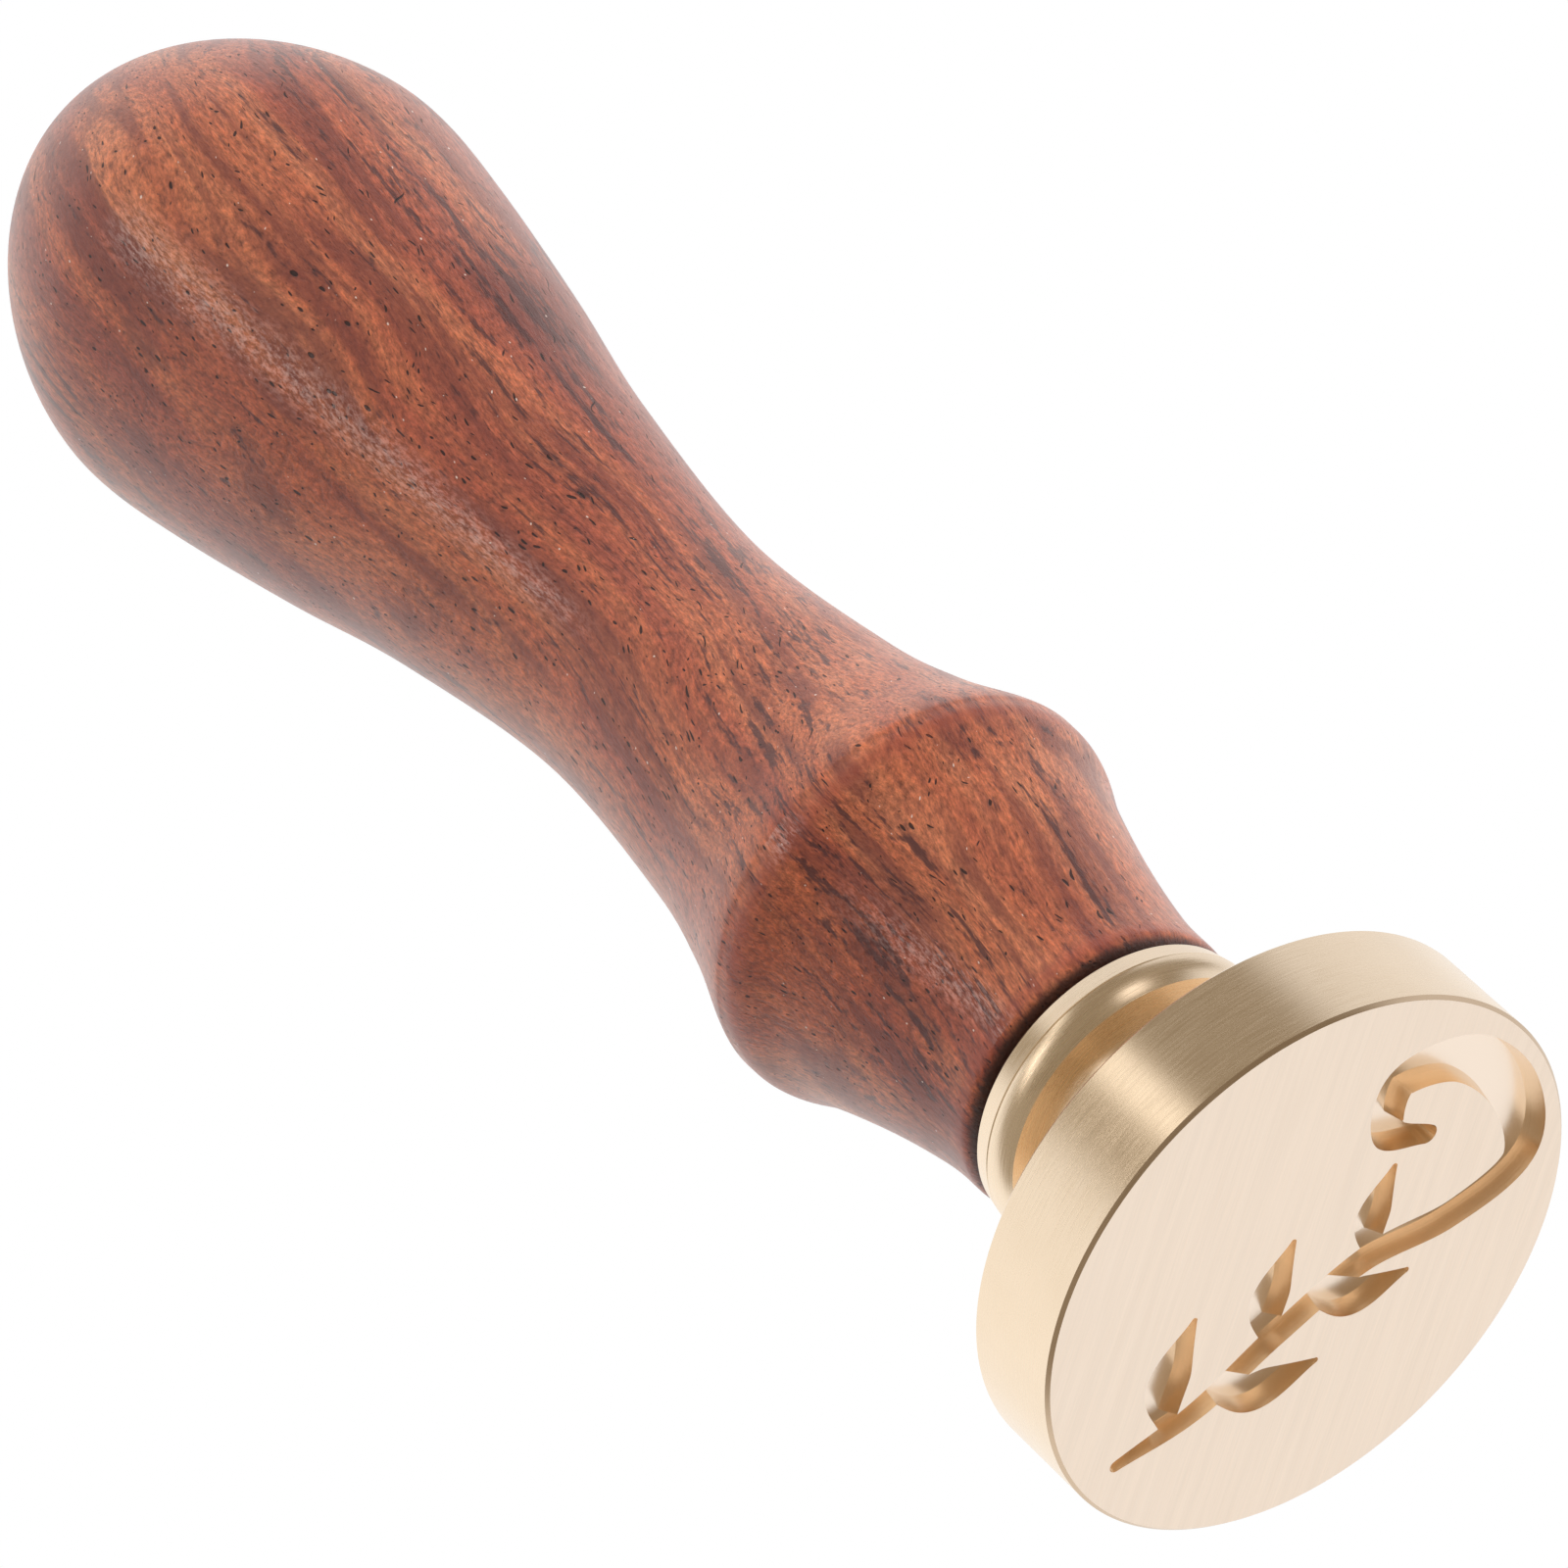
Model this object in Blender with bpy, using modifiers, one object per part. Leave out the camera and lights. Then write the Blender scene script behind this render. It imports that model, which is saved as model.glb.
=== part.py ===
"""Wax seal stamp: a turned wooden handle screwed onto an engraved brass seal head.

The stamp stands on its sealing face. The origin is the centre of that face, +Z runs up
the handle's axis, and +X runs along the engraved sprig.
"""

import math

import bmesh
import bpy
from mathutils import Vector

MM = 0.001

# ---- driving dimensions ----------------------------------------------------------------
TOTAL_HEIGHT = 90.0 * MM
FIT_GAP = 0.3 * MM

# seal head
DISC_RADIUS = 12.5 * MM
DISC_THICKNESS = 4.8 * MM
DISC_CHAMFER = 0.15 * MM
NECK_RADIUS = 5.5 * MM
NECK_FILLET = 0.5 * MM
BEAD_TOP_RADIUS = 6.65 * MM
BEAD_RADIUS = 6.8 * MM
BEAD_BOTTOM = 10.7 * MM
BEAD_SHOULDER = 11.9 * MM
BEAD_CURVE = 2.2 * MM
BEAD_CHAMFER = 0.15 * MM
HEAD_TOP = 12.95 * MM
TAPPED_HOLE_BOTTOM = 3.9 * MM

# threaded stud
THREAD_RADIUS = 3.5 * MM
THREAD_PITCH = 1.0 * MM
THREAD_DEPTH = 0.42 * MM
RIDGE_SINK = 0.05 * MM
STUD_BOTTOM = 4.4 * MM
STUD_LENGTH = 20.0 * MM
STUD_TIP_CHAMFER = 0.6 * MM

# handle
HANDLE_BOTTOM = HEAD_TOP + FIT_GAP
BOTTOM_RIM_RADIUS = 6.65 * MM
BOTTOM_ROUNDING = 0.7 * MM
RIDGE_HEIGHT = 26.5 * MM
RIDGE_RADIUS = 9.5 * MM
WAIST_HEIGHT = 45.5 * MM
WAIST_RADIUS = 6.32 * MM
BULB_HEIGHT = 76.0 * MM
BULB_RADIUS = 10.93 * MM
CROWN_POWER = 1.75

# engraving
STEM_DEPTH = 1.0 * MM
LEAF_DEPTH = 0.9 * MM
WALL_DRAFT = 0.2
CUTTER_OVERRUN = 0.3 * MM
TIP_TURNS = (40.0, 80.0)

# resolution
SEGMENTS = 48
STUD_SEGMENTS = 16
SHARP_ANGLE = math.radians(32.0)


def clear_scene():
    for item in list(bpy.data.objects):
        bpy.data.objects.remove(item, do_unlink=True)


def new_collection(name):
    collection = bpy.data.collections.new(name)
    bpy.context.scene.collection.children.link(collection)
    return collection


def metal_or_wood(name, color, roughness, metallic):
    material = bpy.data.materials.new(name)
    material.use_nodes = True
    shader = material.node_tree.nodes["Principled BSDF"]
    shader.inputs["Base Color"].default_value = (*color, 1.0)
    shader.inputs["Roughness"].default_value = roughness
    shader.inputs["Metallic"].default_value = metallic
    return material


def link_object(name, data, collection, material=None):
    item = bpy.data.objects.new(name, data)
    collection.objects.link(item)
    if material is not None:
        data.materials.append(material)
    return item


def arc(center_r, center_z, radius, start_deg, end_deg, steps):
    """Points (r, z) on an arc; 0 degrees points outwards and 90 degrees upwards."""
    points = []
    for index in range(steps + 1):
        angle = math.radians(start_deg + (end_deg - start_deg) * index / steps)
        points.append((center_r + radius * math.cos(angle), center_z + radius * math.sin(angle)))
    return points


def smooth_through(stations, steps):
    """Catmull-Rom curve from the second station to the last but one.

    The first and last stations only set the curve's direction at its two ends.
    """
    knots = [Vector(point) for point in stations]
    curve = []
    for before, start, end, after in zip(knots, knots[1:], knots[2:], knots[3:]):
        for index in range(steps):
            t = index / steps
            point = 0.5 * (
                2 * start
                + (end - before) * t
                + (2 * before - 5 * start + 4 * end - after) * t ** 2
                + (3 * start - before - 3 * end + after) * t ** 3
            )
            curve.append(tuple(point))
    curve.append(stations[-2])
    return curve


def turned(name, profile, segments, collection, material):
    """Turn an (r, z) profile, listed from top to bottom, about the Z axis."""
    mesh = bpy.data.meshes.new(name)
    edges = [(index, index + 1) for index in range(len(profile) - 1)]
    mesh.from_pydata([(r, 0.0, z) for r, z in profile], edges, [])
    item = link_object(name, mesh, collection, material)
    screw = item.modifiers.new("turn", "SCREW")
    screw.steps = segments
    screw.render_steps = segments
    screw.use_merge_vertices = True
    screw.merge_threshold = 0.00001
    return item


def baked(item, collection):
    """Replace an object by the mesh its curve or modifiers make, welded into one skin."""
    evaluated = item.evaluated_get(bpy.context.evaluated_depsgraph_get())
    mesh = bpy.data.meshes.new_from_object(evaluated)
    bm = bmesh.new()
    bm.from_mesh(mesh)
    bmesh.ops.remove_doubles(bm, verts=bm.verts, dist=0.000001)
    bmesh.ops.recalc_face_normals(bm, faces=bm.faces)
    bm.to_mesh(mesh)
    bm.free()
    name = item.name
    matrix = item.matrix_world.copy()
    bpy.data.objects.remove(item, do_unlink=True)
    result = bpy.data.objects.new(name, mesh)
    result.matrix_world = matrix
    collection.objects.link(result)
    return result


def combine(target, other, operation, name):
    modifier = target.modifiers.new(name, "BOOLEAN")
    modifier.operation = operation
    modifier.solver = "EXACT"
    modifier.object = other


def finished(item, collection):
    """Bake a part's modifiers and shade it smooth, with its real corners kept sharp."""
    bpy.context.view_layer.update()
    result = baked(item, collection)
    result.data.shade_smooth()
    result.data.set_sharp_from_angle(angle=SHARP_ANGLE)
    return result


def hide_guide(item):
    item.hide_render = True
    item.display_type = "WIRE"


def head_profile():
    """Outline of the brass head, from the top of the tapped hole round to the face's centre."""
    tapped_radius = THREAD_RADIUS + FIT_GAP
    outline = [
        (0.0, TAPPED_HOLE_BOTTOM),
        (tapped_radius, TAPPED_HOLE_BOTTOM),
        (tapped_radius, HEAD_TOP - 0.4 * MM),
        (tapped_radius + 0.4 * MM, HEAD_TOP),
        (BEAD_TOP_RADIUS - BEAD_CHAMFER, HEAD_TOP),
        (BEAD_TOP_RADIUS, HEAD_TOP - BEAD_CHAMFER),
        (BEAD_RADIUS, BEAD_SHOULDER),
    ]
    bead_turn = math.degrees(math.asin((BEAD_SHOULDER - BEAD_BOTTOM) / BEAD_CURVE))
    outline += arc(BEAD_RADIUS - BEAD_CURVE, BEAD_SHOULDER, BEAD_CURVE, 0, -bead_turn, 4)[1:]
    outline.append((NECK_RADIUS, BEAD_BOTTOM))
    outline += arc(
        NECK_RADIUS + NECK_FILLET, DISC_THICKNESS + NECK_FILLET, NECK_FILLET, 180, 270, 3
    )
    outline += [
        (DISC_RADIUS - DISC_CHAMFER, DISC_THICKNESS),
        (DISC_RADIUS, DISC_THICKNESS - DISC_CHAMFER),
        (DISC_RADIUS, DISC_CHAMFER),
        (DISC_RADIUS - DISC_CHAMFER, 0.0),
        (0.0, 0.0),
    ]
    return outline


def handle_profile():
    """Outline of the wooden handle, from its crown down to the blind bore."""
    crown_height = TOTAL_HEIGHT - BULB_HEIGHT
    outline = []
    crown_steps = 9
    for index in range(crown_steps):
        share = math.cos(0.5 * math.pi * index / crown_steps)
        radius = BULB_RADIUS * (1.0 - share ** CROWN_POWER) ** (1.0 / CROWN_POWER)
        outline.append((radius, BULB_HEIGHT + crown_height * share))

    grip = [
        (10.41 * MM, 2.0 * BULB_HEIGHT - 71.0 * MM),
        (BULB_RADIUS, BULB_HEIGHT),
        (10.41 * MM, 71.0 * MM),
        (9.10 * MM, 63.5 * MM),
        (7.56 * MM, 56.0 * MM),
        (WAIST_RADIUS, WAIST_HEIGHT),
        (7.05 * MM, 36.0 * MM),
        (8.12 * MM, 31.0 * MM),
        (RIDGE_RADIUS - 0.16 * MM, RIDGE_HEIGHT + 1.0 * MM),
        (RIDGE_RADIUS, RIDGE_HEIGHT),
    ]
    outline += smooth_through(grip, 3)
    outline.append((RIDGE_RADIUS, RIDGE_HEIGHT))

    flare = [
        (RIDGE_RADIUS, RIDGE_HEIGHT),
        (RIDGE_RADIUS - 0.16 * MM, RIDGE_HEIGHT - 1.0 * MM),
        (8.49 * MM, 23.5 * MM),
        (7.43 * MM, 19.75 * MM),
        (6.75 * MM, 16.2 * MM),
        (BOTTOM_RIM_RADIUS, HANDLE_BOTTOM + BOTTOM_ROUNDING),
        (BOTTOM_RIM_RADIUS, HANDLE_BOTTOM),
    ]
    outline += smooth_through(flare, 2)
    outline += arc(
        BOTTOM_RIM_RADIUS - BOTTOM_ROUNDING,
        HANDLE_BOTTOM + BOTTOM_ROUNDING,
        BOTTOM_ROUNDING,
        0,
        -90,
        3,
    )[1:]

    bore_radius = THREAD_RADIUS + FIT_GAP
    bore_top = STUD_BOTTOM + STUD_LENGTH + FIT_GAP
    outline += [
        (bore_radius, HANDLE_BOTTOM),
        (bore_radius, bore_top),
        (0.0, bore_top + 0.5 * bore_radius),
    ]
    return outline


def stroke_section(center, along, half, depth, turn):
    """Corners of a stroke's mouth and floor, turned round the stroke's centre at its ends."""
    across = Vector((-along.y, along.x))
    depth = min(depth, 0.9 * half / WALL_DRAFT)
    mouth = half + WALL_DRAFT * CUTTER_OVERRUN
    floor = half - WALL_DRAFT * depth
    corners = []
    for reach, side, height in (
        (mouth, 1.0, -CUTTER_OVERRUN),
        (mouth, -1.0, -CUTTER_OVERRUN),
        (floor, -1.0, depth),
        (floor, 1.0, depth),
    ):
        point = center + along * (reach * math.sin(turn))
        point += across * (side * reach * math.cos(turn))
        corners.append((point.x, point.y, height))
    return corners


def stroke_sections(path, widths, depth):
    """Sections along one engraved stroke, with a round end at either tip."""
    stations = [Vector((x, y, 0.5 * width)) * MM for (x, y), width in zip(path, widths)]
    first_guide = 2.0 * stations[0] - stations[1]
    last_guide = 2.0 * stations[-1] - stations[-2]
    samples = smooth_through([first_guide] + stations + [last_guide], 4)
    samples = [Vector(sample) for sample in samples]
    last = len(samples) - 1
    sections = []
    for index, sample in enumerate(samples):
        step = samples[min(index + 1, last)] - samples[max(index - 1, 0)]
        turns = [0.0]
        if index == 0:
            turns = [-turn for turn in reversed(TIP_TURNS)] + turns
        if index == last:
            turns += TIP_TURNS
        for turn in turns:
            sections.append(
                stroke_section(
                    sample.to_2d(), step.to_2d().normalized(), sample.z, depth, math.radians(turn)
                )
            )
    return sections


def engraving_cutter(name, path, widths, depth, cutters):
    """What one stroke takes out of the sealing face: a flat floor between drafted walls."""
    bm = bmesh.new()
    rings = []
    for section in stroke_sections(path, widths, depth):
        rings.append([bm.verts.new(corner) for corner in section])
    for ring, next_ring in zip(rings, rings[1:]):
        for index in range(4):
            following = (index + 1) % 4
            bm.faces.new((ring[index], ring[following], next_ring[following], next_ring[index]))
    bm.faces.new(rings[0])
    bm.faces.new(rings[-1])
    bmesh.ops.recalc_face_normals(bm, faces=bm.faces)
    mesh = bpy.data.meshes.new(name)
    bm.to_mesh(mesh)
    bm.free()
    cutter = link_object(name, mesh, cutters)
    hide_guide(cutter)
    return cutter


def sprig_strokes():
    """The curled sprig: its stem and leaves, each as (path, widths, depth), flat on the face."""
    stem = [(-10.7, -0.4), (-7.0, 1.0), (-2.6, 1.5), (1.8, 2.4), (5.4, 4.6), (8.9, 5.2)]
    curl = [(10.5, 2.0), (10.1, -1.8), (7.7, -3.9), (5.9, -2.3), (6.9, -0.3)]
    stem_widths = [0.6, 1.2, 1.4, 1.5, 1.6, 1.9, 2.2, 2.2, 1.9, 1.5, 0.9]
    strokes = [(stem + curl, stem_widths, STEM_DEPTH)]
    leaf_roots = [(-8.4, 0.5), (-6.2, 1.1), (-3.2, 1.4), (-0.8, 1.8), (2.0, 2.5)]
    for index, (x, y) in enumerate(leaf_roots):
        side = 1.0 if index % 2 else -1.0
        size = 1.0 - 0.05 * index
        middle = (x + 1.5 * size, y + 2.2 * size * side)
        tip = (x + 3.9 * size, y + 3.7 * size * side)
        strokes.append(([(x, y), middle, tip], [0.6, 2.2 * size, 0.3], LEAF_DEPTH))
    return strokes


def make_seal_head(parts, cutters):
    brass = metal_or_wood("brass_head", (0.78, 0.62, 0.38), 0.3, 1.0)
    head = turned("seal_head", head_profile(), SEGMENTS, parts, brass)
    for index, (path, widths, depth) in enumerate(sprig_strokes()):
        cutter = engraving_cutter("engraving_%d" % index, path, widths, depth, cutters)
        combine(head, cutter, "DIFFERENCE", "engrave_%d" % index)
    return finished(head, parts)


def make_threaded_stud(parts, cutters):
    """A headless screw: a core with one helical ridge, its outer half glued into the wood."""
    steel = metal_or_wood("zinc_steel", (0.62, 0.6, 0.56), 0.35, 1.0)
    core_radius = THREAD_RADIUS - THREAD_DEPTH
    top = STUD_LENGTH
    core = [
        (0.0, top),
        (core_radius - STUD_TIP_CHAMFER, top),
        (core_radius, top - STUD_TIP_CHAMFER),
        (core_radius, STUD_TIP_CHAMFER),
        (core_radius - STUD_TIP_CHAMFER, 0.0),
        (0.0, 0.0),
    ]
    stud = turned("threaded_stud", core, STUD_SEGMENTS, parts, steel)
    stud.location.z = STUD_BOTTOM

    curve = bpy.data.curves.new("thread_ridge", "CURVE")
    curve.dimensions = "3D"
    curve.twist_mode = "Z_UP"
    curve.bevel_depth = THREAD_DEPTH + RIDGE_SINK
    curve.bevel_resolution = 0
    curve.use_fill_caps = True
    spline = curve.splines.new("POLY")
    threaded_length = STUD_LENGTH - 2.0 * STUD_TIP_CHAMFER - THREAD_PITCH
    helix_radius = core_radius - RIDGE_SINK
    spline.points.add(int(STUD_SEGMENTS * threaded_length / THREAD_PITCH))
    for index, point in enumerate(spline.points):
        turn = index / STUD_SEGMENTS
        x = helix_radius * math.cos(2.0 * math.pi * turn)
        y = helix_radius * math.sin(2.0 * math.pi * turn)
        height = STUD_TIP_CHAMFER + THREAD_PITCH * (0.5 + turn)
        point.co = (x, y, height, 1.0)
    ridge = link_object("thread_ridge", curve, cutters)
    ridge.location.z = STUD_BOTTOM
    bpy.context.view_layer.update()
    ridge = baked(ridge, cutters)
    hide_guide(ridge)
    combine(stud, ridge, "UNION", "thread")
    return finished(stud, parts)


def make_handle(parts):
    rosewood = metal_or_wood("rosewood", (0.30, 0.085, 0.045), 0.35, 0.0)
    handle = turned("handle", handle_profile(), SEGMENTS, parts, rosewood)
    return finished(handle, parts)


def main():
    clear_scene()
    parts = new_collection("wax_seal_stamp")
    cutters = new_collection("cutters")

    screw_axis = bpy.data.objects.new("screw_axis", None)
    screw_axis.location.z = 0.0
    parts.objects.link(screw_axis)

    make_seal_head(parts, cutters)
    stud = make_threaded_stud(parts, cutters)
    handle = make_handle(parts)
    stud.parent = screw_axis
    handle.parent = screw_axis


main()
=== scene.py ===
"""Looks for the wax seal stamp: turned rosewood handle, brushed brass head, threaded stud.

Lengths are in millimetres until a mesh is made. Outer sizes come from the CAD frame's boxes.
Colours are linear, as (red, green, blue, 1). Directions in the studio are in degrees: azimuth
from the camera's side of the stamp, positive to the right, and elevation above the horizon.
"""

import math

import bmesh
import bpy
from mathutils import Matrix, Vector


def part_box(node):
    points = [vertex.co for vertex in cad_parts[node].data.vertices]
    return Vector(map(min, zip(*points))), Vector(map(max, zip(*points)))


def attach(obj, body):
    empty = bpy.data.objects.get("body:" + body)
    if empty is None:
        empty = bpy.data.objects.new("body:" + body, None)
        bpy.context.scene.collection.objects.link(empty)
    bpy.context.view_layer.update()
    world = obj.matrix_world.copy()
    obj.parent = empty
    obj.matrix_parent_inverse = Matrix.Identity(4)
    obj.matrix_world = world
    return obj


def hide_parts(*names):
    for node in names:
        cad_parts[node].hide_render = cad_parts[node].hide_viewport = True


MM = 0.001


# ---- frame -----------------------------------------------------------------------------

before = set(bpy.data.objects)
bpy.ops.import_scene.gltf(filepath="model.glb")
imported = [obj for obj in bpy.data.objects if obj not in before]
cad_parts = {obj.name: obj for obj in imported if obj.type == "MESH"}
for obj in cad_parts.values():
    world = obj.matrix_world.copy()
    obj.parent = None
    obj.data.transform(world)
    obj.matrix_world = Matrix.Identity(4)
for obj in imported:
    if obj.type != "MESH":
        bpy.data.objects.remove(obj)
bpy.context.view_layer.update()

handle_low, handle_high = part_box("handle")
head_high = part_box("seal_head")[1]
stud_low, stud_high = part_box("threaded_stud")

TOTAL_HEIGHT = handle_high.z / MM
HANDLE_BOTTOM = handle_low.z / MM
BULB_RADIUS = handle_high.x / MM
DISC_RADIUS = head_high.x / MM
HEAD_TOP = head_high.z / MM
STUD_BOTTOM = stud_low.z / MM
STUD_TOP = stud_high.z / MM
THREAD_RADIUS = stud_high.x / MM


# ---- sizes -----------------------------------------------------------------------------

# handle stations
RIDGE_HEIGHT = 26.5
RIDGE_RADIUS = 9.5
RIDGE_REACH = 1.0
RIDGE_DROP = 0.16
WAIST_HEIGHT = 45.5
WAIST_RADIUS = 6.32
BULB_HEIGHT = 76.0
CROWN_POWER = 1.75
BOTTOM_RIM_RADIUS = 6.65
BOTTOM_ROUNDING = 0.7
BORE_CLEARANCE = 0.05
BORE_CHAMFER = 0.3
BORE_END_GAP = 0.3

# seal head
DISC_THICKNESS = 4.8
DISC_CHAMFER = 0.15
NECK_RADIUS = 5.5
NECK_FILLET = 0.5
BEAD_TOP_RADIUS = 6.65
BEAD_RADIUS = 6.8
BEAD_BOTTOM = 10.7
BEAD_SHOULDER = 11.9
BEAD_CURVE = 2.2
BEAD_CHAMFER = 0.15
BEAD_LINE_DEPTH = 0.04
BEAD_LINE_WIDTH = 0.08
TAPPED_HOLE_BOTTOM = 3.9
TAP_CLEARANCE = 0.12
TAP_CHAMFER = 0.3
TAP_OVERRUN = 1.0
TAP_TURNS = 9.0

# thread
THREAD_PITCH = 1.0
THREAD_DEPTH = 0.42
RIDGE_SINK = 0.05
TIP_CHAMFER = 0.6

# engraving
STEM_DEPTH = 1.0
LEAF_DEPTH = 0.9
WALL_DRAFT = 0.2
DEPTH_LIMIT = 0.9
CUTTER_OVERRUN = 0.3
TIP_TURNS = (20.0, 40.0, 60.0, 80.0)

# resolution
WELD_DISTANCE = 0.0005
AXIS_WELD_DISTANCE = 0.002
SEGMENTS = 192
THREAD_SEGMENTS = 48
CROWN_STEPS = 40
GRIP_STEPS = 14
STROKE_STEPS = 16


# ---- colours and finishes --------------------------------------------------------------

# rosewood
GRAIN_LEAN = 0.11
GRAIN_WANDER = 7.0
FIGURE_STOPS = (
    (0.34, (0.365, 0.069, 0.033)),
    (0.44, (0.480, 0.098, 0.039)),
    (0.54, (0.585, 0.143, 0.051)),
    (0.68, (0.680, 0.207, 0.082)),
)
FIBRE_RED = (0.230, 0.042, 0.030, 1.0)
STAIN_RED = (0.210, 0.036, 0.024, 1.0)
STREAK_PURPLE = (0.085, 0.018, 0.020, 1.0)
PORE_BLACK = (0.022, 0.008, 0.009, 1.0)
DUST_PALE = (0.95, 0.75, 0.64, 1.0)
# painted highlight, red, on the ridge's crest and just above the bottom edge
PAINTED_EDGE_HIGHLIGHT = (0.440, 0.068, 0.028, 1.0)
# painted shade round the bottom edge, in the gap above the brass
PAINTED_GAP_SHADE = (0.045, 0.011, 0.008, 1.0)
# painted highlight: the pale streak under the bright strip
PAINTED_STREAK_HIGHLIGHT = (0.92, 0.70, 0.64, 1.0)
# painted reflection: the pale haze where the wood turns away
PAINTED_GRAZING_SHEEN = (0.90, 0.58, 0.48, 1.0)

# brass; the face lies below FACE_TOP, and the engraving between that and ENGRAVED_TOP
FACE_TOP = 0.004
ENGRAVED_TOP = 1.6
ENGRAVED_MARGIN = 0.4
BRUSH_DEG = -38.0
TURNED_BRASS = (0.95, 0.77, 0.57, 1.0)
TURNED_BRASS_PALE = (0.99, 0.81, 0.61, 1.0)
FACE_BRASS = (0.945, 0.80, 0.665, 1.0)
EDGE_BRASS = (0.66, 0.50, 0.35, 1.0)
CUT_BRASS = (0.45, 0.27, 0.14, 1.0)
BRASS_SPECK = (0.10, 0.06, 0.03, 1.0)
SPECK_RADIUS = 0.018

# steel
ZINC_DARK = (0.52, 0.51, 0.50, 1.0)
ZINC_LIGHT = (0.70, 0.69, 0.66, 1.0)

# studio
KEY_SIDE = (0.66, 0.22, 0.72)
KEY_STRENGTH = 1.76
STRIP_LEAN = 54.0
WHITE = (1.0, 1.0, 1.0, 1.0)
WHITE_RIGHT = (0.88, 0.88, 0.89, 1.0)
WHITE_ABOVE = (0.65, 0.65, 0.65, 1.0)
DIM_LEFT = (0.37, 0.32, 0.25, 1.0)
DIM_RIGHT = (0.285, 0.235, 0.17, 1.0)
STRIP_HIGH = (1.30, 1.25, 1.17, 1.0)
STRIP_LOW = (4.6, 4.4, 4.2, 1.0)
GLINT = (1.6, 1.5, 1.4, 1.0)
FLOOR_COLOR = (0.86, 0.86, 0.85, 1.0)
FLOOR_RADIUS = 1500.0
FLOOR_SINK = 0.1

# camera
SENSOR_WIDTH = 36.0
CAMERA_LENS = 211.5
CAMERA_SHIFT_X = -0.0021
CAMERA_SHIFT_Y = -0.0019
CAMERA_DISTANCE = 378.9
CAMERA_AIM_HEIGHT = 35.6
CAMERA_DROP = math.radians(39.14)
CAMERA_ROLL = math.radians(46.99)


# ---- small tools -----------------------------------------------------------------------


def link_object(name, data):
    item = bpy.data.objects.new(name, data)
    bpy.context.scene.collection.objects.link(item)
    return item


def arc(center_r, center_z, radius, start_deg, end_deg, steps):
    """Points (r, z) on an arc; 0 degrees points outwards and 90 degrees upwards."""
    points = []
    for index in range(steps + 1):
        angle = math.radians(start_deg + (end_deg - start_deg) * index / steps)
        points.append((center_r + radius * math.cos(angle), center_z + radius * math.sin(angle)))
    return points


def smooth_through(stations, steps):
    """Catmull-Rom curve from the second station to the last but one."""
    knots = [Vector(point) for point in stations]
    curve = []
    for before, start, end, after in zip(knots, knots[1:], knots[2:], knots[3:]):
        for index in range(steps):
            t = index / steps
            point = 0.5 * (
                2 * start
                + (end - before) * t
                + (2 * before - 5 * start + 4 * end - after) * t ** 2
                + (3 * start - before - 3 * end + after) * t ** 3
            )
            curve.append(tuple(point))
    curve.append(tuple(stations[-2]))
    return curve


def turned(name, outline, segments):
    """Turn an (r, z) outline in millimetres, listed from top to bottom, about the Z axis."""
    mesh = bpy.data.meshes.new(name)
    edges = [(index, index + 1) for index in range(len(outline) - 1)]
    mesh.from_pydata([(r * MM, 0.0, z * MM) for r, z in outline], edges, [])
    item = link_object(name, mesh)
    screw = item.modifiers.new("turn", "SCREW")
    screw.steps = segments
    screw.render_steps = segments
    screw.use_merge_vertices = True
    screw.merge_threshold = AXIS_WELD_DISTANCE * MM
    return baked(item)


def baked(item):
    """Replace an object by the welded mesh that its curve or modifiers make."""
    bpy.context.view_layer.update()
    evaluated = item.evaluated_get(bpy.context.evaluated_depsgraph_get())
    mesh = bpy.data.meshes.new_from_object(evaluated)
    mesh.transform(item.matrix_world)
    bm = bmesh.new()
    bm.from_mesh(mesh)
    bmesh.ops.remove_doubles(bm, verts=bm.verts, dist=WELD_DISTANCE * MM)
    bmesh.ops.recalc_face_normals(bm, faces=bm.faces)
    bm.to_mesh(mesh)
    bm.free()
    name = item.name
    bpy.data.objects.remove(item, do_unlink=True)
    return link_object(name, mesh)


def combine(target, tool, operation):
    """Boolean the tool into the target, then throw the tool away."""
    modifier = target.modifiers.new(operation.lower(), "BOOLEAN")
    modifier.operation = operation
    modifier.solver = "EXACT"
    modifier.object = tool
    result = baked(target)
    bpy.data.objects.remove(tool, do_unlink=True)
    return result


def shade(item, sharp_deg):
    """Shade smoothly, save over edges sharper than the angle."""
    item.data.shade_smooth()
    item.data.set_sharp_from_angle(angle=math.radians(sharp_deg))


def helical_ridge(name, core_radius, start, turns):
    """A diamond-section thread ridge round a core, starting at +X at height start."""
    radius = core_radius - RIDGE_SINK
    curve = bpy.data.curves.new(name, "CURVE")
    curve.dimensions = "3D"
    curve.twist_mode = "Z_UP"
    curve.bevel_depth = (THREAD_DEPTH + RIDGE_SINK) * MM
    curve.bevel_resolution = 0
    curve.use_fill_caps = True
    spline = curve.splines.new("POLY")
    spline.points.add(int(turns * THREAD_SEGMENTS))
    for index, point in enumerate(spline.points):
        turn = index / THREAD_SEGMENTS
        x = radius * math.cos(2.0 * math.pi * turn)
        y = radius * math.sin(2.0 * math.pi * turn)
        height = start + THREAD_PITCH * turn
        point.co = (x * MM, y * MM, height * MM, 1.0)
    return baked(link_object(name, curve))


# ---- material graph --------------------------------------------------------------------


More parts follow.
